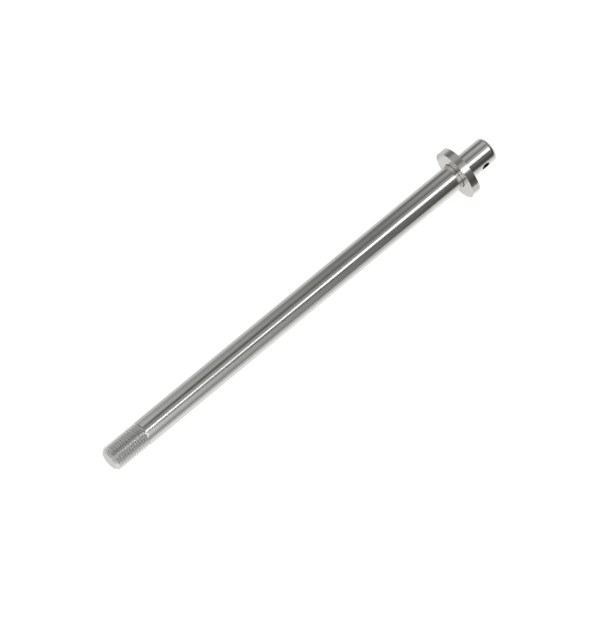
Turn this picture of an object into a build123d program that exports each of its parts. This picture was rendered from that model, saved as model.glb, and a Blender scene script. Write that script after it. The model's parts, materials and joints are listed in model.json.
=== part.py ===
from build123d import *
import os
from math import atan2, ceil, cos, degrees, radians, sin, tan

# Collared stud bolt, turned and ground from one bar of stainless steel. Millimetres.
#
# The stud is modelled along its own axis, local +Z, from the threaded end's flat face at 0 to the
# stub's end. It is then laid down as it rests, on its first thread crest and the collar's rim, with
# +X along the stud from the thread to the stub and the floor at Z = 0.

# Shank
shank_diameter = 22.0
shank_length = 341.5            # plain ground length between the thread and the collar's seat

# Thread: M22 x 2.5, right-hand
thread_diameter = 21.9          # over the crests, inside the standard's tolerance
thread_pitch = 2.5
thread_length = 37.0            # end face to the end of the run-out
runout_length = 1.6             # cone on which the last groove fades out against the shank
thread_chamfer = 2.7            # 45 degree lead-in at the end, well past the root
seam_turn = 180.0               # degrees from the floor side to where the round surfaces close

# Collar
collar_diameter = 45.0
collar_thickness = 7.5
collar_edge = 0.3               # broken edge on both rims
relief_width = 0.65             # ring groove in the seat round the shank, for the grinding wheel
relief_depth = 0.6

# Stub beyond the collar
stub_diameter = 22.0
stub_length = 30.0
stub_end_radius = 3.6           # full round on the stub's end
cross_hole_diameter = 7.0       # for a split pin
cross_hole_to_end = 13.0        # hole's axis to the stub's end

# Places along the axis
seat_at = thread_length + shank_length
collar_back_at = seat_at + collar_thickness
end_at = collar_back_at + stub_length
cross_hole_at = end_at - cross_hole_to_end

shank_radius = shank_diameter / 2
stub_radius = stub_diameter / 2
collar_radius = collar_diameter / 2
crest_radius = thread_diameter / 2

# ISO metric form: flats on the crest and at the root, and 60 degrees between the flanks
crest_width = thread_pitch / 8
root_width = thread_pitch / 6
thread_depth = (thread_pitch - crest_width - root_width) / 2 / tan(radians(30))
root_radius = crest_radius - thread_depth

ON_BASE = (Align.CENTER, Align.CENTER, Align.MIN)


def first_crest_at():
    """Centre of the first full crest on the side that the stud lies on, just past the chamfer."""
    return thread_chamfer + crest_width / 2


def ridge_turn():
    """One turn of the thread's ridge, whose flanks run on a little way into the core."""
    slope = (thread_pitch - root_width - crest_width) / 2 / thread_depth
    sink = thread_pitch / 25
    half_base = crest_width / 2 + (thread_depth + sink) * slope
    corners = [
        (root_radius - sink, -half_base),
        (crest_radius, -crest_width / 2),
        (crest_radius, crest_width / 2),
        (root_radius - sink, half_base),
    ]
    profile = make_face(Plane.XZ * Polyline(*corners, close=True)).face()
    helix = Wire([Edge.make_helix(thread_pitch, thread_pitch, root_radius)])
    return Solid.sweep(profile, helix, is_frenet=True)


def threaded_end():
    """Core and ridge, turn upon turn, trimmed to the flat end, its 45 degree chamfer and the shank."""
    turns_before = ceil(first_crest_at() / thread_pitch) + 1 - seam_turn / 360
    start = first_crest_at() - turns_before * thread_pitch
    turns = ceil((thread_length - start) / thread_pitch) + 1
    turn = ridge_turn()
    ridge = [Pos(0, 0, start + i * thread_pitch) * turn for i in range(turns)]
    core = Pos(0, 0, start) * Cylinder(root_radius, turns * thread_pitch, align=ON_BASE)
    envelope = Polygon(
        (0, 0),
        (crest_radius - thread_chamfer, 0),
        (crest_radius + thread_pitch, thread_chamfer + thread_pitch),
        (crest_radius + thread_pitch, thread_length),
        (0, thread_length),
        align=None,
    )
    return core.fuse(*ridge) & revolve(Plane.XZ * envelope, Axis.Z)


def turned_body():
    """Everything turned round: run-out cone, shank, relief, collar and stub, as one revolved outline."""
    relief_radius = shank_radius + relief_width
    end_arc_centre = (stub_radius - stub_end_radius, end_at - stub_end_radius)
    with BuildSketch(Plane.XZ) as outline:
        with BuildLine():
            Polyline(
                (0, end_at),
                (0, thread_length - runout_length),
                (root_radius, thread_length - runout_length),
                (shank_radius, thread_length),
                (shank_radius, seat_at + relief_depth),
                (relief_radius, seat_at + relief_depth),
                (relief_radius, seat_at),
                (collar_radius - collar_edge, seat_at),
                (collar_radius, seat_at + collar_edge),
                (collar_radius, collar_back_at - collar_edge),
                (collar_radius - collar_edge, collar_back_at),
                (stub_radius, collar_back_at),
                (stub_radius, end_at - stub_end_radius),
            )
            CenterArc(end_arc_centre, stub_end_radius, 0, 90)
            Line((stub_radius - stub_end_radius, end_at), (0, end_at))
        make_face()
    return revolve(outline.sketch, Axis.Z)


def cross_hole():
    """Drill for the split pin, square to the axis and level when the stud lies down."""
    drill = Cylinder(cross_hole_diameter / 2, 2 * stub_diameter)
    return Pos(0, 0, cross_hole_at) * Rot(90, 0, 0) * drill


def laid_down(stud):
    """Turn local +Z to +X, then tip the stud onto its two supports and centre it over the origin."""
    crest_at = thread_chamfer
    rim_at = seat_at + collar_edge
    tip = atan2(collar_radius - crest_radius, rim_at - crest_at)
    axis_height = crest_radius * cos(tip) - crest_at * sin(tip)
    middle = end_at / 2 * cos(tip)
    return Pos(-middle, 0, axis_height) * Rot(0, -degrees(tip), 0) * Rot(0, 90, 0) * stud


def stud():
    turned = Rot(0, 0, seam_turn) * (threaded_end() + turned_body())
    return laid_down(turned - cross_hole())


os.makedirs("parts", exist_ok=True)
export_step(stud(), "parts/stud.step")
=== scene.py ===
"""Looks of the collared stud bolt: its dressed body, its finishes, and the studio that it lies in.

The bolt is one bar of stainless steel. Its skin is laid out along its own axis, local +Z, from the
threaded end's face at 0 to the stub's end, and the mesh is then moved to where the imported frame's
mounts say that the axis lies. The bolt's lengths are in millimetres up to the moment a mesh is
written. The studio's are in metres.
"""

import json
import logging
import math
from dataclasses import dataclass, field
from enum import Enum
from typing import Any

import bmesh
import bpy
import numpy as np
from mathutils import Matrix, Vector

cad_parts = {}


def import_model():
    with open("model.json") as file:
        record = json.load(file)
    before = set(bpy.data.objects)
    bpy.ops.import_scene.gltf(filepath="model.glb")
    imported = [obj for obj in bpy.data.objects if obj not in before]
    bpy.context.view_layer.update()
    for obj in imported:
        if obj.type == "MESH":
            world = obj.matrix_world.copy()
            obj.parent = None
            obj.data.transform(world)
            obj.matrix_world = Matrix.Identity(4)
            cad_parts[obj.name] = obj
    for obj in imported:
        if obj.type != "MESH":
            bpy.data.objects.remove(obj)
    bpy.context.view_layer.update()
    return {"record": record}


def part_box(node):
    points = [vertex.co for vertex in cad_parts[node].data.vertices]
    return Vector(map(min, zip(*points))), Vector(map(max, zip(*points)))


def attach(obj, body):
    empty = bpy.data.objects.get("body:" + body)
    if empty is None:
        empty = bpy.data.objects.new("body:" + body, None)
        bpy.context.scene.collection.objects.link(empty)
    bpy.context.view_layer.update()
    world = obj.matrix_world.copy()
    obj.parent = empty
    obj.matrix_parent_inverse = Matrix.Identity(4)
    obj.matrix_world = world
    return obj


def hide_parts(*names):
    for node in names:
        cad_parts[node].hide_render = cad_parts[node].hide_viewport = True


frame: dict[str, Any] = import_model()

LOG: logging.Logger = logging.getLogger("stud_bolt")
MM: float = 0.001

# The Mix node's colour sockets go by number, because their names stand for its plain numbers too.
MIX_FIRST: int = 6
MIX_SECOND: int = 7
MIX_RESULT: int = 2
# A noise texture stays within this range nearly everywhere.
NOISE_LOW: float = 0.3
NOISE_HIGH: float = 0.7


# ---------------------------------------------------------------- small tools


def linear(colour: str) -> tuple[float, float, float, float]:
    """Turn an sRGB hex colour into the linear RGBA that shader sockets take.

    Args:
        colour: Six hex digits, with or without a leading '#'.

    Returns:
        Linear red, green, blue and an alpha of 1.
    """
    digits = colour.lstrip("#")
    channels = [int(digits[i : i + 2], 16) / 255 for i in (0, 2, 4)]
    red, green, blue = (
        c / 12.92 if c <= 0.04045 else ((c + 0.055) / 1.055) ** 2.4 for c in channels
    )
    return red, green, blue, 1.0


def add_node(
    tree: bpy.types.NodeTree, kind: str, inputs: dict[Any, Any] | None = None, **settings: Any
) -> bpy.types.Node:
    """Add a node with its settings, constants and incoming links.

    Args:
        tree: The node tree that the node joins.
        kind: Blender's type name for the node.
        inputs: Socket name or number, with a constant or the output socket to link from.
        settings: Properties set on the node itself.

    Returns:
        The new node.
    """
    node = tree.nodes.new(kind)
    for name, value in settings.items():
        setattr(node, name, value)
    for socket, value in (inputs or {}).items():
        if isinstance(value, bpy.types.NodeSocket):
            tree.links.new(value, node.inputs[socket])
        else:
            node.inputs[socket].default_value = value
    return node


def add_object(
    name: str,
    points: list[tuple[float, ...]],
    faces: list[tuple[int, ...]],
    materials: list[bpy.types.Material | None],
) -> bpy.types.Object:
    """Make a mesh and its object, and put the object in the scene.

    Args:
        name: The name of both.
        points: Places in metres.
        faces: Each face's point numbers, in order.
        materials: The mesh's material slots.

    Returns:
        The new object.
    """
    mesh = bpy.data.meshes.new(name)
    mesh.from_pydata(points, [], faces)
    for material in materials:
        mesh.materials.append(material)
    made = bpy.data.objects.new(name, mesh)
    bpy.context.scene.collection.objects.link(made)
    return made


def empty_material(name: str) -> bpy.types.Material:
    """Make a node material with nothing in its tree.

    Args:
        name: The material's name.

    Returns:
        The new material.
    """
    material = bpy.data.materials.new(name)
    material.use_nodes = True
    material.node_tree.nodes.clear()
    return material


def smoothstep(x: np.ndarray) -> np.ndarray:
    """Ease from 0 to 1 over x from 0 to 1."""
    t = np.clip(x, 0.0, 1.0)
    return t * t * (3 - 2 * t)


class Zone(Enum):
    """Which finish a band of the bolt's surface has; the value is its material slot."""

    GROUND = 0
    TURNED = 1
    FACED = 2
    THREAD = 3
    DRILLED = 4
    GROOVE = 5


@dataclass(frozen=True)
class AxisLine:
    """The line that the bolt turns about in the lathe, in the row's frame."""

    origin: Vector          # metres, at the threaded end's face
    direction: Vector       # unit vector towards the stub

    def lie(self) -> Matrix:
        """Work out how the bolt lies, with local Z along the axis and local X down to the floor.

        Returns:
            The matrix that moves the bolt there.
        """
        level = Vector((0.0, 1.0, 0.0))
        down = level.cross(self.direction)
        turn = Matrix((down, level, self.direction)).transposed().to_4x4()
        return Matrix.Translation(self.origin) @ turn


# ---------------------------------------------------------------- finishes


@dataclass(frozen=True)
class MachinedStainless:
    """Bright austenitic stainless steel, cut or ground while the bar turns.

    The marks run round the axis, so a lamp's reflection stays crisp across the bar and smears
    along it. Each finish differs in how deep and how far apart those marks are.
    """

    name: str
    colour: str
    dark: str               # painted shade: the same steel, drawn darker at the bottom of a mark
    roughness: float
    roughness_swing: float  # how much duller or brighter a patch may be
    anisotropy: float
    mark_spacing: float     # millimetres between marks, along the axis or across a face
    mark_depth: float       # millimetres
    mark_octaves: float = 2.0
    mark_raggedness: float = 0.6
    blotch: float = 9.0     # millimetres across a patch where the steel is a shade duller
    blotch_octaves: float = 3.0
    blotch_raggedness: float = 0.5
    smear_turn: float = 0.25    # turns from the marks to the way that a reflection smears

    def material(self, axis: AxisLine) -> bpy.types.Material:
        """Build the finish as a node material.

        Args:
            axis: The line that the marks run round.

        Returns:
            The material, which reads only the piece's own object coordinates.
        """
        material = empty_material(self.name)
        tree = material.node_tree
        place = add_node(tree, "ShaderNodeTexCoord").outputs["Object"]
        arm = add_node(
            tree, "ShaderNodeVectorMath", {0: place, 1: axis.origin}, operation="SUBTRACT"
        ).outputs[0]
        along = add_node(
            tree, "ShaderNodeVectorMath", {0: arm, 1: axis.direction}, operation="DOT_PRODUCT"
        ).outputs["Value"]
        # Square to the axis and to the arm, so it points along the marks and is as long as the radius.
        lay = add_node(
            tree, "ShaderNodeVectorMath", {0: axis.direction, 1: arm}, operation="CROSS_PRODUCT"
        ).outputs[0]
        radius = add_node(tree, "ShaderNodeVectorMath", {0: lay}, operation="LENGTH").outputs["Value"]
        # A lathe mark keeps its radius and its place along the axis all the way round.
        track = add_node(tree, "ShaderNodeCombineXYZ", {"X": radius, "Z": along}).outputs[0]
        marks = add_node(
            tree,
            "ShaderNodeTexNoise",
            {
                "Vector": track,
                "Scale": 1 / (self.mark_spacing * MM),
                "Detail": self.mark_octaves,
                "Roughness": self.mark_raggedness,
            },
        ).outputs["Fac"]
        patches = add_node(
            tree,
            "ShaderNodeTexNoise",
            {
                "Vector": place,
                "Scale": 1 / (self.blotch * MM),
                "Detail": self.blotch_octaves,
                "Roughness": self.blotch_raggedness,
            },
        ).outputs["Fac"]
        height = add_node(
            tree,
            "ShaderNodeMapRange",
            {"Value": marks, "From Min": NOISE_LOW, "From Max": NOISE_HIGH},
        ).outputs[0]
        # Painted shade: the colour turns darker where a mark is deep, as shade in its hollow.
        shade = add_node(
            tree,
            "ShaderNodeMix",
            {"Factor": height, MIX_FIRST: linear(self.dark), MIX_SECOND: linear(self.colour)},
            data_type="RGBA",
        ).outputs[MIX_RESULT]
        dullness = add_node(
            tree,
            "ShaderNodeMapRange",
            {
                "Value": patches,
                "From Min": NOISE_LOW,
                "From Max": NOISE_HIGH,
                "To Min": self.roughness - self.roughness_swing,
                "To Max": self.roughness + self.roughness_swing,
            },
        ).outputs[0]
        relief = add_node(
            tree,
            "ShaderNodeBump",
            {"Height": marks, "Distance": self.mark_depth * MM, "Strength": 1.0},
        ).outputs[0]
        tangent = add_node(tree, "ShaderNodeVectorMath", {0: lay}, operation="NORMALIZE").outputs[0]
        shader = add_node(
            tree,
            "ShaderNodeBsdfPrincipled",
            {
                "Base Color": shade,
                "Metallic": 1.0,
                "Roughness": dullness,
                "Anisotropic": self.anisotropy,
                "Anisotropic Rotation": self.smear_turn,
                "Tangent": tangent,
                "Normal": relief,
            },
        ).outputs[0]
        add_node(tree, "ShaderNodeOutputMaterial", {"Surface": shader})
        return material


# Centreless-ground bar, and the collar's rim, ground too: very fine round marks, so the light lies
# on it as long, clean lines.
GROUND_BAR = MachinedStainless(
    name="stainless_ground_bar",
    colour="#CDCDCA",
    dark="#C8C8C5",
    roughness=0.18,
    roughness_swing=0.015,
    anisotropy=0.4,
    mark_spacing=0.6,
    mark_depth=0.0002,
)
# The collar's faces and the stub's end, left by a fine finishing cut: pale, satin, with faint rings.
FINE_TURNED = MachinedStainless(
    name="stainless_fine_turned",
    colour="#C7C4C1",
    dark="#C0BDBA",
    roughness=0.2,
    roughness_swing=0.02,
    anisotropy=0.4,
    mark_spacing=0.7,
    mark_depth=0.0004,
)
# The bar's sawn end after facing: a shade duller than the seat, with rings a little further apart.
FACED_END = MachinedStainless(
    name="stainless_faced_end",
    colour="#C1BEBB",
    dark="#BAB7B4",
    roughness=0.24,
    roughness_swing=0.02,
    anisotropy=0.3,
    mark_spacing=0.9,
    mark_depth=0.0005,
)
# Thread and its lead-in, cut with a die and cutting oil: duller than the bar, torn slightly on the
# flanks.
DIE_CUT = MachinedStainless(
    name="stainless_die_cut",
    colour="#D6D7D4",
    dark="#CDCECB",
    roughness=0.37,
    roughness_swing=0.03,
    anisotropy=0.3,
    mark_spacing=0.25,
    mark_depth=0.001,
)
# Bore of a drilled hole: coarser, as a twist drill leaves it, and coloured far darker than the bar as
# painted shade inside the hole.
DRILLED_BORE_PAINTED_SHADE = MachinedStainless(
    name="stainless_drilled_bore_painted_shade",
    colour="#6E6D6A",
    dark="#545351",
    roughness=0.36,
    roughness_swing=0.05,
    anisotropy=0.2,
    mark_spacing=0.3,
    mark_depth=0.004,
)
# Bottom and walls of the fine relief groove, which no polish reaches, coloured near black as painted
# shade in the groove.
GROOVE_PAINTED_SHADE = MachinedStainless(
    name="stainless_groove_painted_shade",
    colour="#32312F",
    dark="#262523",
    roughness=0.5,
    roughness_swing=0.05,
    anisotropy=0.1,
    mark_spacing=0.3,
    mark_depth=0.002,
)
FINISHES: dict[Zone, MachinedStainless] = {
    Zone.GROUND: GROUND_BAR,
    Zone.TURNED: FINE_TURNED,
    Zone.FACED: FACED_END,
    Zone.THREAD: DIE_CUT,
    Zone.DRILLED: DRILLED_BORE_PAINTED_SHADE,
    Zone.GROOVE: GROOVE_PAINTED_SHADE,
}


@dataclass(frozen=True)
class SeamlessPaper:
    """Matt white backdrop paper: it burns out to white round the object and keeps its shadow."""

    name: str = "white_backdrop_paper"
    colour: str = "#F4F4F3"
    glow: float = 0.9
    shaded_share: float = 0.15  # how much of what the eye sees is lit, and so takes the shadow

    def material(self) -> bpy.types.Material:
        """Build the paper: lit for its own bounce, nearly all glow to the eye and to reflections.

        Returns:
            The material.
        """
        material = empty_material(self.name)
        tree = material.node_tree
        paths = add_node(tree, "ShaderNodeLightPath").outputs
        direct = add_node(
            tree,
            "ShaderNodeMath",
            {0: paths["Is Camera Ray"], 1: paths["Is Glossy Ray"]},
            operation="MAXIMUM",
        ).outputs[0]
        seen = add_node(
            tree, "ShaderNodeMath", {0: direct, 1: paths["Is Transmission Ray"]}, operation="MAXIMUM"
        ).outputs[0]
        lit = add_node(tree, "ShaderNodeBsdfDiffuse", {"Color": linear(self.colour)}).outputs[0]
        share = (self.shaded_share,) * 3 + (1.0,)
        faint = add_node(tree, "ShaderNodeBsdfDiffuse", {"Color": share}).outputs[0]
        glow = add_node(tree, "ShaderNodeEmission", {"Strength": self.glow}).outputs[0]
        shown = add_node(tree, "ShaderNodeAddShader", {0: faint, 1: glow}).outputs[0]
        surface = add_node(tree, "ShaderNodeMixShader", {0: seen, 1: lit, 2: shown}).outputs[0]
        add_node(tree, "ShaderNodeOutputMaterial", {"Surface": surface})
        return material


# ---------------------------------------------------------------- the bolt's mesh


@dataclass
class Skin:
    """One closed surface, gathered band by band from rings of points about the axis."""

    columns: int = 160      # points round the axis
    points: list[tuple[float, float, float]] = field(default_factory=list)
    faces: list[tuple[int, ...]] = field(default_factory=list)
    zones: list[int] = field(default_factory=list)

    def angles(self) -> np.ndarray:
        """Angles of the columns about the axis."""
        return np.arange(self.columns) * 2 * math.pi / self.columns

    def ring(self, along: float, radius: float) -> list[int]:
        """Add a level ring of points.

        Args:
            along: Its place along the axis.
            radius: Its radius.

        Returns:
            The points' numbers.
        """
        first = len(self.points)
        self.points += [
            (radius * math.cos(t), radius * math.sin(t), along) for t in self.angles()
        ]
        return list(range(first, first + self.columns))

    def face(self, corners: list[int], zone: Zone) -> None:
        """Add a face, leaving out corners that fall together.

        Args:
            corners: Point numbers, in order.
            zone: The face's finish.
        """
        kept = [c for i, c in enumerate(corners) if c != corners[i - 1]]
        if len(set(kept)) > 2:
            self.faces.append(tuple(kept))
            self.zones.append(zone.value)

    def band(self, low: list[int], high: list[int], zone: Zone) -> None:
        """Join two rings with faces that look outwards.

        Args:
            low: The ring nearer to the threaded end.
            high: The ring after it.
            zone: The faces' finish.
        """
        for j in range(self.columns):
            k = (j + 1) % self.columns
            self.face([low[j], low[k], high[k], high[j]], zone)

    def lathe(self, ring: list[int], outline: list[tuple[float, float]], zone: Zone) -> list[int]:
        """Carry a ring on through an outline of (along, radius) stations.

        Args:
            ring: The ring that the outline starts from.
            outline: The stations that follow it.
            zone: The finish of every band.

        Returns:
            The last ring.
        """
        for along, radius in outline:
            following = self.ring(along, radius)
            self.band(ring, following, zone)
            ring = following
        return ring

    def make(self, name: str, materials: list[bpy.types.Material | None]) -> bpy.types.Object:
        """Turn the surface into an object, without the points that no face uses.

        Args:
            name: The object's name.
            materials: One for each zone.

        Returns:
            The new object, still along local Z.
        """
        used = sorted({c for f in self.faces for c in f})
        number = {old: new for new, old in enumerate(used)}
        made = add_object(
            name,
            [tuple(c * MM for c in self.points[i]) for i in used],
            [tuple(number[c] for c in f) for f in self.faces],
            materials,
        )
        made.data.polygons.foreach_set("material_index", self.zones)
        return made


def rounded(
    centre: tuple[float, float], radius: float, start: float, stop: float, steps: int
) -> list[tuple[float, float]]:
    """Stations on an arc of an outline.

    Args:
        centre: The arc's centre as (along, radius).
        radius: The arc's own radius.
        start: First angle in degrees, from straight outwards towards the stub's end.
        stop: Last angle in degrees.
        steps: Number of runs.

    Returns:
        steps + 1 stations.
    """
    turn = np.radians(np.linspace(start, stop, steps + 1))
    return [
        (centre[0] + radius * math.sin(t), centre[1] + radius * math.cos(t)) for t in turn
    ]


@dataclass
class ThreadedEnd:
    """Flat end, 45 degree lead-in and the cut thread, up to where its groove lifts out."""

    crest_radius: float
    shank_radius: float
    length: float
    pitch: float = 2.5
    flank_angle: float = 30.0       # degrees between a flank and a plane square to the axis
    flank_steps: tuple[float, ...] = (0.25, 0.5)    # shares of the way from the flat to mid-root
    chamfer: float = 2.7
    root_rounding: float = 0.4
    crest_break: float = 0.08       # how far before a crest's corner the face over it starts
    crest_faces: int = 2            # faces each side of a crest's middle that keep the bar's finish
    lift_out_at: float = 12.63      # turns after the first crest at which the groove is gone
    lift_out_over: float = 0.16     # turns that it takes to come out
    spoon: float = 0.6              # depth of the groove's smooth end, as a share of the full depth
    rise_over: float = 3.0          # last stretch, which rises from the crests' height to the shank's
    margin: float = 0.5             # plain metal after the nominal end, so that the groove can close
    centre_ring: float = 0.4        # radius of the face in the middle of the end
    end_rings: tuple[float, ...] = (0.2, 0.45, 0.7, 0.9)    # shares of the flat end's radius
    snap: float = 1e-6              # how close to a ring that the rows end in a point joins it

    def __post_init__(self) -> None:
        """Work out the ISO form's depth and flats, and the steps across it."""
        self.crest_flat = self.pitch / 8
        self.root_flat = self.pitch / 6
        self.slope = math.tan(math.radians(self.flank_angle))
        self.depth = (self.pitch - self.crest_flat - self.root_flat) / 2 / self.slope
        self.first_crest = self.chamfer + self.crest_flat / 2
        self.end = self.length + self.margin
        self.shares = self.steps()

    def steps(self) -> np.ndarray:
        """Choose the places across one pitch where points go, closer together at the corners.

        Returns:
            The places, as shares of the pitch from a crest's middle.
        """
        half, flat, root = self.pitch / 2, self.crest_flat / 2, self.root_flat / 2
        side = [
            0.0,
            flat - self.crest_break,
            flat + self.crest_break / 2,
            *(flat + s * (half - flat) for s in self.flank_steps),
            half - root - self.root_rounding / 2,
            half - root,
            half - root / 2,
            half,
        ]
        mirrored = [self.pitch - d for d in reversed(side[1:-1])]
        return np.array(side + mirrored) / self.pitch

    def groove(self, share: np.ndarray) -> np.ndarray:
        """Depth of the full groove below the crest, over one pitch.

        Args:
            share: Place across the pitch, from 0 at a crest's middle to 1 at the next.

        Returns:
            Depth in millimetres, 0 on the crests.
        """
        away = np.minimum(share, 1 - share) * self.pitch
        flank = (away - self.crest_flat / 2) / self.slope
        # The flank bends into the root, instead of meeting it in a corner.
        blend = self.root_rounding
        gap = flank - self.depth
        rounded_root = np.where(
            np.abs(gap) < blend, flank - (gap + blend) ** 2 / (4 * blend), np.minimum(flank, self.depth)
        )
        return np.maximum(rounded_root, 0.0)

    def radius(self, along: np.ndarray, share: np.ndarray, turns: np.ndarray) -> np.ndarray:
        """Radius of the skin anywhere on the thread.

        Args:
            along: Distance from the end face.
            share: Place across the pitch.
            turns: How far along the helix the groove is there, in turns.

        Returns:
            The radius in millimetres.
        """
        rise = smoothstep((along - self.length + self.rise_over) / self.rise_over)
        outside = self.crest_radius + (self.shank_radius - self.crest_radius) * rise
        # Where the groove lifts out, it turns into a shallow bowl, and the bowl into plain metal.
        left = 1 - smoothstep((turns - self.lift_out_at) / self.lift_out_over + 1)
        bowl = self.spoon * self.depth * (1 - np.cos(2 * math.pi * share)) / 2
        cut = outside - left * (left * self.groove(share) + (1 - left) * bowl)
        lead_in = self.crest_radius - self.chamfer + along
        return np.minimum(cut, lead_in)

    def end_face(self, skin: Skin) -> list[int]:
        """Lay the flat end on the skin.

        Args:
            skin: The bolt's surface.

        Returns:
            The ring at its rim.
        """
        face_radius = self.crest_radius - self.chamfer
        centre = skin.ring(0.0, self.centre_ring)
        skin.face(list(reversed(centre)), Zone.FACED)
        stations = [(0.0, face_radius * share) for share in self.end_rings]
        return skin.lathe(centre, stations + [(0.0, face_radius)], Zone.FACED)

    def rows(self, skin: Skin, rim: list[int], last: list[int]) -> dict[int, list[int]]:
        """Lay the points of the rows that follow the helix.

        The rows start two turns before the end face and stop a turn after the last ring, so that
        they reach both all the way round.

        Args:
            skin: The bolt's surface.
            rim: The ring at the end face's rim, which stands in for points before it.
            last: The ring where the plain shank starts, which stands in for points past it.

        Returns:
            For each row, counted from the first crest, its point numbers round the axis.
        """
        first_turn = -math.ceil(self.first_crest / self.pitch) - 2
        last_turn = math.ceil((self.end - self.first_crest) / self.pitch) + 1
        turned = np.arange(skin.columns) / skin.columns
        rows: dict[int, list[int]] = {}
        for turn in range(first_turn, last_turn + 1):
            for step, share in enumerate(self.shares):
                turns = turn + turned
                along = self.first_crest + (turns + share) * self.pitch
                reach = self.radius(along, np.full_like(along, share), turns)
                row: list[int] = []
                for j in range(skin.columns):
                    if along[j] <= self.snap:
                        row.append(rim[j])
                    elif along[j] >= self.end - self.snap:
                        row.append(last[j])
                    else:
                        angle = 2 * math.pi * turned[j]
                        row.append(len(skin.points))
                        skin.points.append(
                            (reach[j] * math.cos(angle), reach[j] * math.sin(angle), along[j])
                        )
                rows[turn * len(self.shares) + step] = row
        return rows

    def zone(self, row: int, turned: float, along: float) -> Zone:
        """Find the finish of a face.

        The crests keep the bar's finish, and so does all that the groove doesn't reach. The rest of
        the thread is cut, and so is its lead-in.

        Args:
            row: The row that the face starts from.
            turned: How far round the axis it is, in turns.
            along: How far it is from the end face.

        Returns:
            The face's finish.
        """
        per_turn = len(self.shares)
        on_crest = (row + self.crest_faces) % per_turn < 2 * self.crest_faces
        groove_ends = row / per_turn + turned > self.lift_out_at - self.lift_out_over
        if along >= self.chamfer and (on_crest or groove_ends):
            return Zone.GROUND
        return Zone.THREAD

    def build(self, skin: Skin) -> list[int]:
        """Lay the end face, the lead-in and the thread on the skin.

        The rows follow the helix, so the crests and the root stay unbroken lines all the way.

        Args:
            skin: The bolt's surface.

        Returns:
            The ring where the plain shank starts.
        """
        rim = self.end_face(skin)
        last = skin.ring(self.end, self.shank_radius)
        rows = self.rows(skin, rim, last)
        per_turn = len(self.shares)
        for k in range(min(rows), max(rows) - per_turn):
            for j in range(skin.columns):
                # After the last column, a row goes on in the first column as the next turn's row.
                beside, column = (k, j + 1) if j + 1 < skin.columns else (k + per_turn, 0)
                above = rows[k + 1][j]
                zone = self.zone(k, j / skin.columns, skin.points[above][2])
                skin.face([rows[k][j], rows[beside][column], rows[beside + 1][column], above], zone)
        return last


@dataclass
class Shank:
    """Long plain ground length between the thread and the collar's seat."""

    radius: float
    seat_at: float
    relief_depth: float
    stride: float = 12.0        # about this far from ring to ring
    beside: float = 0.2         # from the thread's end to the ring that keeps the shank straight

    def build(self, skin: Skin, ring: list[int], start: float) -> list[int]:
        """Carry the skin along the shank, down to the bottom of the groove in the seat.

        Args:
            skin: The bolt's surface.
            ring: The ring at the thread's end.
            start: Where that ring is.

        Returns:
            The ring at the bottom of the relief groove.
        """
        runs = round((self.seat_at - start) / self.stride)
        plain = [(a, self.radius) for a in np.linspace(start + self.beside, self.seat_at, runs + 1)]
        ring = skin.lathe(ring, plain, Zone.GROUND)
        # The groove's inner wall takes the finish with painted shade.
        return skin.lathe(ring, [(self.seat_at + self.relief_depth, self.radius)], Zone.GROOVE)


@dataclass
class Collar:
    """Thick round collar turned in one with the bar, with a fine groove where the seat begins."""

    radius: float
    seat_at: float
    back_at: float
    relief_outer: float
    relief_depth: float
    edge: float = 0.3
    edge_steps: int = 4
    corner: float = 0.08
    corner_steps: int = 3
    beside: float = 0.1         # from a rounded corner to the ring that keeps the flat beside it flat
    stub_fillet: float = 0.25
    seat_rings: int = 9
    rim_rings: int = 4
    back_rings: int = 8

    def build(self, skin: Skin, ring: list[int], stub_radius: float) -> list[int]:
        """Carry the skin out over the seat, round the rim and down the back.

        Args:
            skin: The bolt's surface.
            ring: The ring at the bottom of the relief groove.
            stub_radius: Radius of the stub that the back runs in to.

        Returns:
            The ring where the stub starts.
        """
        lip, top = self.relief_outer + self.corner, self.radius - self.edge
        foot = stub_radius + self.stub_fillet
        front, rear = self.seat_at + self.edge, self.back_at - self.edge
        inner_lip = rounded((self.seat_at + self.corner, lip), self.corner, 180, 270, self.corner_steps)
        across = np.linspace(lip + self.beside, top - self.beside, self.seat_rings)
        seat = [(self.seat_at, r) for r in across]
        front_edge = rounded((front, top), self.edge, -90, 0, self.edge_steps)
        over = np.linspace(front + self.beside, rear - self.beside, self.rim_rings)
        rim = [(a, self.radius) for a in over]
        back_edge = rounded((rear, top), self.edge, 0, 90, self.edge_steps)
        down = np.linspace(top - self.beside, foot + self.beside, self.back_rings)
        back = [(self.back_at, r) for r in down]
        fillet = rounded(
            (self.back_at + self.stub_fillet, foot), self.stub_fillet, 270, 180, self.corner_steps
        )
        bottom = [(self.seat_at + self.relief_depth, self.relief_outer)]
        # The groove's bottom and outer wall take the finish with painted shade.
        ring = skin.lathe(ring, bottom + inner_lip[:1], Zone.GROOVE)
        ring = skin.lathe(ring, inner_lip[1:] + seat + front_edge[:1], Zone.TURNED)
        ring = skin.lathe(ring, front_edge[1:] + rim + back_edge, Zone.GROUND)
        return skin.lathe(ring, back + fillet, Zone.TURNED)


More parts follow.
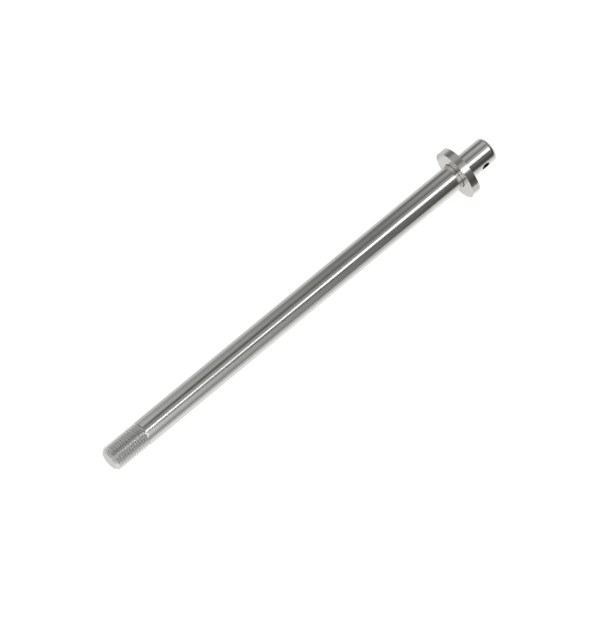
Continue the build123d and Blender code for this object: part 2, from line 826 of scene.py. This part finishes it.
@dataclass
class Stub:
    """Short ground stub beyond the collar, fully rounded at its end and cross-drilled."""

    radius: float
    start: float
    end: float
    end_rounding: float
    hole_at: float
    hole_radius: float
    hole_break: float = 0.35
    beside: float = 0.1         # from the rounded end to the ring that keeps the stub straight
    stride: float = 1.5         # about this far from ring to ring
    nose_steps: int = 12
    flat_rings: tuple[float, ...] = (0.75, 0.5, 0.25, 0.06)     # shares of the flat end's radius
    drill_past: float = 2.0     # how far the drill comes out of the stub on each side
    drill_columns: int = 96
    drill_rings: int = 9

    def build(self, skin: Skin, ring: list[int]) -> None:
        """Close the skin over the stub and its end.

        Args:
            skin: The bolt's surface.
            ring: The ring at the collar's back.
        """
        straight = self.end - self.end_rounding
        flat = self.radius - self.end_rounding
        runs = round((straight - self.start) / self.stride)
        plain = [(a, self.radius) for a in np.linspace(self.start, straight - self.beside, runs + 1)]
        ring = skin.lathe(ring, plain[1:] + [(straight, self.radius)], Zone.GROUND)
        nose = rounded((straight, flat), self.end_rounding, 0, 90, self.nose_steps)
        ring = skin.lathe(ring, nose[1:], Zone.GROUND)
        ring = skin.lathe(ring, [(self.end, flat * s) for s in self.flat_rings], Zone.TURNED)
        skin.face(ring, Zone.TURNED)

    def drill(self) -> bpy.types.Object:
        """Make the drill's own shape: a round rod along local Y that opens out at both mouths.

        Returns:
            An object for the cut that makes the cross hole.
        """
        reach = self.radius + self.drill_past
        mouth = self.radius - self.hole_break
        flare = self.hole_radius + reach - mouth
        rod = Skin(columns=self.drill_columns)
        ring = rod.ring(-reach, flare)
        rod.face(list(reversed(ring)), Zone.DRILLED)
        inner = [(a, self.hole_radius) for a in np.linspace(-mouth, mouth, self.drill_rings)]
        ring = rod.lathe(ring, inner + [(reach, flare)], Zone.DRILLED)
        rod.face(ring, Zone.DRILLED)
        tool = rod.make("cross_drill", [None] * len(Zone))
        across = Matrix.Rotation(math.pi / 2, 4, "X")
        tool.matrix_world = Matrix.Translation((0, 0, self.hole_at * MM)) @ across
        return tool


@dataclass
class StudBolt:
    """The whole bolt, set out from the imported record's mounts."""

    record: dict[str, Any]
    end_rounding: float = 3.6
    relief_width: float = 0.65
    relief_depth: float = 0.6
    sharp_over: float = 28.0    # degrees between faces above which an edge is drawn crisp
    weld_within: float = 0.004  # points closer together than this become one

    def mount(self, name: str) -> dict[str, Any]:
        """Find a mount of the record by name."""
        return next(m for m in self.record["mounts"] if m["name"] == name)

    def __post_init__(self) -> None:
        """Read the axis, and every place and radius that the mounts give."""
        thread, shank = self.mount("thread"), self.mount("shank")
        stub, hole = self.mount("stub"), self.mount("cross_hole")
        direction = Vector(stub["axis"]).normalized()
        thread_length = thread["dims"]["length_mm"]
        origin = Vector(thread["pos_m"]) - direction * thread_length / 2 * MM
        self.axis = AxisLine(origin=origin, direction=direction)
        seat_at = self.along("collar_seat")
        back_at = self.along("collar_back")
        stub_length = stub["dims"]["length_mm"]
        low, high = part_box("stud")
        self.thread = ThreadedEnd(
            crest_radius=thread["dims"]["r_mm"],
            shank_radius=shank["dims"]["r_mm"],
            length=thread_length,
        )
        self.shank = Shank(
            radius=shank["dims"]["r_mm"],
            seat_at=seat_at,
            relief_depth=self.relief_depth,
        )
        self.collar = Collar(
            radius=(high.y - low.y) / 2 / MM,
            seat_at=seat_at,
            back_at=back_at,
            relief_outer=shank["dims"]["r_mm"] + self.relief_width,
            relief_depth=self.relief_depth,
        )
        self.stub = Stub(
            radius=stub["dims"]["r_mm"],
            start=back_at + self.collar.stub_fillet,
            end=back_at + stub_length + self.end_rounding,
            end_rounding=self.end_rounding,
            hole_at=self.along("cross_hole"),
            hole_radius=hole["dims"]["r_mm"],
        )

    def along(self, name: str) -> float:
        """Distance in millimetres of a mount from the threaded end's face."""
        return (Vector(self.mount(name)["pos_m"]) - self.axis.origin).dot(self.axis.direction) / MM

    def build(self) -> bpy.types.Object:
        """Build the bolt as one closed mesh, cut its cross hole and give it its finishes.

        Returns:
            The finished piece, in place.
        """
        skin = Skin()
        ring = self.thread.build(skin)
        ring = self.shank.build(skin, ring, self.thread.end)
        ring = self.collar.build(skin, ring, self.stub.radius)
        self.stub.build(skin, ring)
        piece = skin.make("stud_bolt", [FINISHES[zone].material(self.axis) for zone in Zone])
        piece.data.validate(verbose=False)
        self.cut_cross_hole(piece)
        self.shade(piece)
        piece.data.transform(self.axis.lie())
        return piece

    def cut_cross_hole(self, piece: bpy.types.Object) -> None:
        """Take the drill's shape out of the stub and keep only the result.

        Args:
            piece: The bolt, still along local Z.
        """
        drill = self.stub.drill()
        cut = piece.modifiers.new("cross_hole", "BOOLEAN")
        cut.operation = "DIFFERENCE"
        cut.solver = "EXACT"
        cut.object = drill
        bpy.context.view_layer.update()
        whole = piece.evaluated_get(bpy.context.evaluated_depsgraph_get())
        result = bpy.data.meshes.new_from_object(whole)
        piece.modifiers.clear()
        piece.data = result
        bpy.data.objects.remove(drill)
        self.weld(result)

    def weld(self, mesh: bpy.types.Mesh) -> None:
        """Join the points that fall together, so that no face has a side of no length.

        Args:
            mesh: The bolt's mesh.
        """
        work = bmesh.new()
        work.from_mesh(mesh)
        bmesh.ops.remove_doubles(work, verts=work.verts, dist=self.weld_within * MM)
        work.to_mesh(mesh)
        work.free()

    def shade(self, piece: bpy.types.Object) -> None:
        """Smooth the round surfaces and keep the machined corners crisp.

        Args:
            piece: The bolt.
        """
        mesh = piece.data
        mesh.polygons.foreach_set("use_smooth", [True] * len(mesh.polygons))
        mesh.set_sharp_from_angle(angle=math.radians(self.sharp_over))


# ---------------------------------------------------------------- the studio


@dataclass(frozen=True)
class Bay:
    """How bright the light tent is round one place along it, from the far foot to the near one."""

    place: float        # along +X
    far_foot: float
    far_low: float
    far_wall: float
    slot: float         # the dark slot between the far wall and the roof
    roof: float
    strip: float        # the strip lamp in the roof
    strip_from: float   # degrees from straight up, towards the near side
    strip_to: float
    near_roof: float
    near_wall: float
    near_low: float
    near_foot: float
    wall_top: float = 0.95      # share of the far wall's brightness that is left at its top
    roof_start: float = 0.85    # share of the roof's brightness that it starts with, at the slot
    strip_edge: float = 1.5     # degrees over which the strip lamp's edges fade

    def stops(self) -> list[tuple[float, float]]:
        """Set out the bay's brightness over its arc.

        Returns:
            Angles in degrees from straight up, towards the near side, each with its brightness.
        """
        return [
            (-90, self.far_foot),
            (-66, self.far_low),
            (-48, self.far_wall),
            (-28, self.far_wall * self.wall_top),
            (-18, self.slot),
            (-8, self.slot),
            (0, self.roof * self.roof_start),
            (self.strip_from - self.strip_edge, self.roof),
            (self.strip_from, self.strip),
            (self.strip_to, self.strip),
            (self.strip_to + self.strip_edge, self.near_roof),
            (42, self.near_roof),
            (49, self.near_wall),
            (60, self.near_wall),
            (74, self.near_low),
            (90, self.near_foot),
        ]


@dataclass
class LightTent:
    """Half-round light tent over the bolt, seen only by what the steel reflects."""

    # Place; far foot, low and wall; slot; roof; strip, from and to; near roof, wall, low and foot.
    bays: tuple[Bay, ...] = (
        Bay(-2.40, 0.30, 0.32, 0.70, 0.48, 0.52, 1.20, 20, 28, 0.52, 0.52, 0.50, 0.48),
        Bay(-0.50, 0.54, 0.50, 0.62, 0.12, 0.46, 2.80, 20, 28, 0.20, 0.70, 0.46, 0.44),
        Bay(-0.28, 0.60, 0.54, 0.74, 0.26, 0.70, 2.80, 20, 28, 0.34, 0.84, 0.60, 0.60),
        Bay(-0.17, 1.00, 1.25, 1.25, 0.70, 0.60, 1.60, 20, 28, 1.20, 1.50, 1.30, 1.00),
        Bay(-0.11, 1.05, 1.40, 1.40, 1.05, 0.16, 0.16, 20, 28, 2.00, 2.20, 2.10, 1.40),
        Bay(-0.06, 1.05, 1.40, 1.40, 1.05, 0.16, 0.16, 20, 28, 2.00, 2.20, 2.10, 1.40),
        Bay(-0.015, 0.60, 0.36, 0.62, 0.04, 0.44, 6.00, 22, 28, 0.34, 0.74, 0.52, 0.36),
        Bay(0.02, 0.60, 0.36, 0.60, 0.04, 0.44, 6.00, 22, 28, 0.34, 0.74, 0.52, 0.36),
        Bay(0.04, 0.64, 0.41, 0.53, 0.05, 0.60, 1.20, 23, 25.5, 0.26, 0.80, 0.54, 0.38),
        Bay(0.10, 0.62, 0.38, 0.50, 0.10, 0.54, 2.60, 23, 26, 0.20, 0.64, 0.52, 0.38),
        Bay(0.18, 0.58, 0.31, 0.41, 0.18, 0.46, 3.30, 23.5, 28.5, 0.09, 0.46, 0.50, 0.38),
        Bay(0.28, 0.54, 0.18, 0.20, 0.18, 0.38, 2.80, 19.5, 32.5, 0.12, 0.15, 0.26, 0.22),
        Bay(0.38, 0.38, 0.15, 0.50, 0.24, 0.52, 2.20, 16, 36, 0.28, 0.17, 0.09, 0.07),
        Bay(0.43, 0.42, 0.20, 0.88, 0.40, 1.10, 2.20, 14.5, 37, 0.36, 0.21, 0.08, 0.06),
        Bay(0.54, 0.42, 0.22, 0.95, 0.44, 1.20, 2.20, 14.5, 37, 0.40, 0.21, 0.08, 0.06),
        Bay(0.62, 0.36, 0.34, 0.36, 0.34, 0.36, 0.36, 15, 36, 0.10, 0.06, 0.05, 0.05),
        Bay(2.40, 0.34, 0.34, 0.34, 0.34, 0.34, 0.34, 20, 30, 0.12, 0.07, 0.07, 0.07),
    )
    radius: float = 0.8
    columns: int = 48           # faces round the shell
    rows: int = 24              # faces along it
    floor_gap: float = 0.0005   # from the paper up to the cloth that lies on it
    near_split: float = 0.145   # along +X, where the near floor cloth's outer part turns darker
    peak: float = 6.0           # brightness at the top of the ramps' scale
    # Brightness of the cloth on the floor, by its distance from the middle line.
    far_skirt: tuple[tuple[float, float], ...] = (
        (0.028, 0.78),
        (0.045, 0.82),
        (0.07, 0.82),
        (0.10, 0.84),
        (0.15, 0.84),
        (0.25, 0.75),
        (0.80, 0.60),
    )
    near_left_skirt: tuple[tuple[float, float], ...] = (
        (0.022, 1.60),
        (0.030, 0.94),
        (0.045, 0.70),
        (0.060, 0.80),
        (0.072, 1.05),
        (0.088, 0.32),
        (0.12, 0.30),
        (0.20, 0.36),
        (0.80, 0.36),
    )
    near_skirt: tuple[tuple[float, float], ...] = (
        (0.022, 1.60),
        (0.030, 1.10),
        (0.045, 0.84),
        (0.060, 0.84),
        (0.078, 1.08),
        (0.090, 0.30),
        (0.12, 0.16),
        (0.20, 0.14),
        (0.80, 0.10),
    )

    def __post_init__(self) -> None:
        """Find where the tent starts and ends."""
        self.start, self.end = self.bays[0].place, self.bays[-1].place

    def build(self) -> None:
        """Build the tent's shell with its two ends, and the cloth that runs in over the floor."""
        self.shell()
        self.floor_cloth(-1, self.start, self.near_split, self.near_left_skirt)
        self.floor_cloth(-1, self.near_split, self.end, self.near_skirt)
        self.floor_cloth(1, self.start, self.end, self.far_skirt)

    def shell(self) -> None:
        """Build the half-round shell and the half discs that close it."""
        points, faces = [], []
        for i in range(self.rows + 1):
            x = self.start + (self.end - self.start) * i / self.rows
            for j in range(self.columns + 1):
                angle = math.radians(-90 + 180 * j / self.columns)
                points.append((x, -self.radius * math.sin(angle), self.radius * math.cos(angle)))
        stride = self.columns + 1
        for i in range(self.rows):
            for j in range(self.columns):
                corner = i * stride + j
                faces.append((corner, corner + 1, corner + 1 + stride, corner + stride))
        faces.append(tuple(range(stride)))
        faces.append(tuple(self.rows * stride + j for j in range(stride)))
        self.hang("light_tent", points, faces, self.cloth())

    def floor_cloth(
        self, side: int, start: float, end: float, skirt: tuple[tuple[float, float], ...]
    ) -> None:
        """Lay the cloth that runs in from the tent's foot to near the bolt.

        Args:
            side: -1 for the near side and 1 for the far one.
            start: Where it starts along +X.
            end: Where it ends.
            skirt: Its brightness by distance from the middle line, nearest first.
        """
        inner, outer, up = side * skirt[0][0], side * self.radius, self.floor_gap
        points = [(start, inner, up), (end, inner, up), (end, outer, up), (start, outer, up)]
        self.hang("tent_skirt", points, [(0, 1, 2, 3)], self.skirt_cloth(skirt))

    def hang(
        self,
        name: str,
        points: list[tuple[float, ...]],
        faces: list[tuple[int, ...]],
        material: bpy.types.Material,
    ) -> None:
        """Make a piece of the tent that only reflections see.

        Args:
            name: The piece's name.
            points: Its corners.
            faces: Its faces.
            material: Its cloth.
        """
        cloth = add_object(name, points, faces, [material])
        cloth.visible_camera = False
        cloth.visible_diffuse = False
        cloth.visible_shadow = False
        cloth.visible_transmission = False

    def ramp(
        self, tree: bpy.types.NodeTree, share: bpy.types.NodeSocket, stops: list[tuple[float, float]]
    ) -> bpy.types.NodeSocket:
        """Add a colour ramp of grey levels.

        Args:
            tree: The cloth's node tree.
            share: The place on the ramp, 0 to 1.
            stops: Places from 0 to 1 with the brightness there.

        Returns:
            The ramp's colour, as a share of the peak.
        """
        node = add_node(tree, "ShaderNodeValToRGB", {0: share})
        elements = node.color_ramp.elements
        for i, (position, level) in enumerate(stops):
            stop = elements[i] if i < 2 else elements.new(position)
            stop.position = position
            stop.color = (level / self.peak,) * 3 + (1.0,)
        return node.outputs[0]

    def cloth(self) -> bpy.types.Material:
        """Diffusing cloth, lit from outside: its glow changes round the tent and along it.

        Returns:
            The material.
        """
        material = empty_material("tent_diffusing_cloth")
        tree = material.node_tree
        place = add_node(tree, "ShaderNodeTexCoord").outputs["Object"]
        axes = add_node(tree, "ShaderNodeSeparateXYZ", {0: place}).outputs
        near = add_node(
            tree, "ShaderNodeMath", {0: axes["Y"], 1: -1.0}, operation="MULTIPLY"
        ).outputs[0]
        angle = add_node(
            tree, "ShaderNodeMath", {0: near, 1: axes["Z"]}, operation="ARCTAN2"
        ).outputs[0]
        share = add_node(
            tree,
            "ShaderNodeMapRange",
            {"Value": angle, "From Min": -math.pi / 2, "From Max": math.pi / 2},
        ).outputs[0]
        levels = [
            self.ramp(tree, share, [((degrees + 90) / 180, b) for degrees, b in bay.stops()])
            for bay in self.bays
        ]
        glow = levels[0]
        for before, bay, level in zip(self.bays, self.bays[1:], levels[1:]):
            mix = add_node(
                tree,
                "ShaderNodeMapRange",
                {"Value": axes["X"], "From Min": before.place, "From Max": bay.place},
            ).outputs[0]
            glow = add_node(
                tree,
                "ShaderNodeMix",
                {"Factor": mix, MIX_FIRST: glow, MIX_SECOND: level},
                data_type="RGBA",
            ).outputs[MIX_RESULT]
        shader = add_node(tree, "ShaderNodeEmission", {"Color": glow, "Strength": self.peak}).outputs[0]
        add_node(tree, "ShaderNodeOutputMaterial", {"Surface": shader})
        return material

    def skirt_cloth(self, skirt: tuple[tuple[float, float], ...]) -> bpy.types.Material:
        """The same cloth where it lies on the floor, whose glow changes with how far out it is.

        Args:
            skirt: Its brightness by distance from the middle line.

        Returns:
            The material.
        """
        material = empty_material("tent_floor_cloth")
        tree = material.node_tree
        place = add_node(tree, "ShaderNodeTexCoord").outputs["Object"]
        axes = add_node(tree, "ShaderNodeSeparateXYZ", {0: place}).outputs
        out = add_node(tree, "ShaderNodeMath", {0: axes["Y"]}, operation="ABSOLUTE").outputs[0]
        share = add_node(
            tree, "ShaderNodeMath", {0: out, 1: self.radius}, operation="DIVIDE"
        ).outputs[0]
        level = self.ramp(tree, share, [(d / self.radius, b) for d, b in skirt])
        shader = add_node(tree, "ShaderNodeEmission", {"Color": level, "Strength": self.peak}).outputs[0]
        add_node(tree, "ShaderNodeOutputMaterial", {"Surface": shader})
        return material


@dataclass
class Studio:
    """Paper floor, light tent, plain white surroundings and the camera."""

    floor_half: float = 15.0
    world_level: float = 1.0            # where 1 shows as white
    camera_azimuth: float = -41.97      # degrees
    camera_elevation: float = 63.80
    camera_distance: float = 15.0
    camera_reach: float = 100.0
    sensor: float = 36.0                # millimetres across
    lens: float = 1103.8                # millimetres
    aim_right: float = 0.00017          # from the frame's origin, across the picture
    aim_up: float = -0.00007

    def build(self) -> None:
        """Build everything round the bolt."""
        self.floor()
        LightTent().build()
        self.world()
        self.camera()
        bpy.context.scene.view_settings.view_transform = "Standard"

    def floor(self) -> None:
        """Lay the paper floor at the height that the bolt rests on."""
        half = self.floor_half
        corners = [(-half, -half, 0.0), (half, -half, 0.0), (half, half, 0.0), (-half, half, 0.0)]
        floor = add_object("paper_floor", corners, [(0, 1, 2, 3)], [SeamlessPaper().material()])

    def world(self) -> None:
        """Surround the scene with even white light that also shows as white."""
        world = bpy.data.worlds.new("white_studio")
        world.use_nodes = True
        tree = world.node_tree
        tree.nodes.clear()
        white = add_node(
            tree,
            "ShaderNodeBackground",
            {"Color": (1.0, 1.0, 1.0, 1.0), "Strength": self.world_level},
        ).outputs[0]
        add_node(tree, "ShaderNodeOutputWorld", {"Surface": white})
        bpy.context.scene.world = world

    def camera(self) -> None:
        """Set the camera at its azimuth, elevation and distance, level with the horizon."""
        azimuth, elevation = math.radians(self.camera_azimuth), math.radians(self.camera_elevation)
        back = Vector(
            (
                math.sin(azimuth) * math.cos(elevation),
                -math.cos(azimuth) * math.cos(elevation),
                math.sin(elevation),
            )
        )
        right = Vector((math.cos(azimuth), math.sin(azimuth), 0.0))
        up = back.cross(right)
        aim = right * self.aim_right + up * self.aim_up
        data = bpy.data.cameras.new("camera")
        data.sensor_fit = "HORIZONTAL"
        data.sensor_width = self.sensor
        data.lens = self.lens
        data.clip_end = self.camera_reach
        camera = bpy.data.objects.new("camera", data)
        turn = Matrix((right, up, back)).transposed().to_4x4()
        camera.matrix_world = Matrix.Translation(aim + back * self.camera_distance) @ turn
        bpy.context.scene.collection.objects.link(camera)
        bpy.context.scene.camera = camera


def main() -> None:
    """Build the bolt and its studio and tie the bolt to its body."""
    logging.basicConfig(level=logging.INFO, format="%(name)s: %(message)s")
    bolt = StudBolt(frame["record"])
    piece = bolt.build()
    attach(piece, "root")
    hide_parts("stud")
    LOG.info("%s: %d points, %d faces", piece.name, len(piece.data.vertices), len(piece.data.polygons))
    Studio().build()
    LOG.info("studio built")


if __name__ == "__main__":
    main()
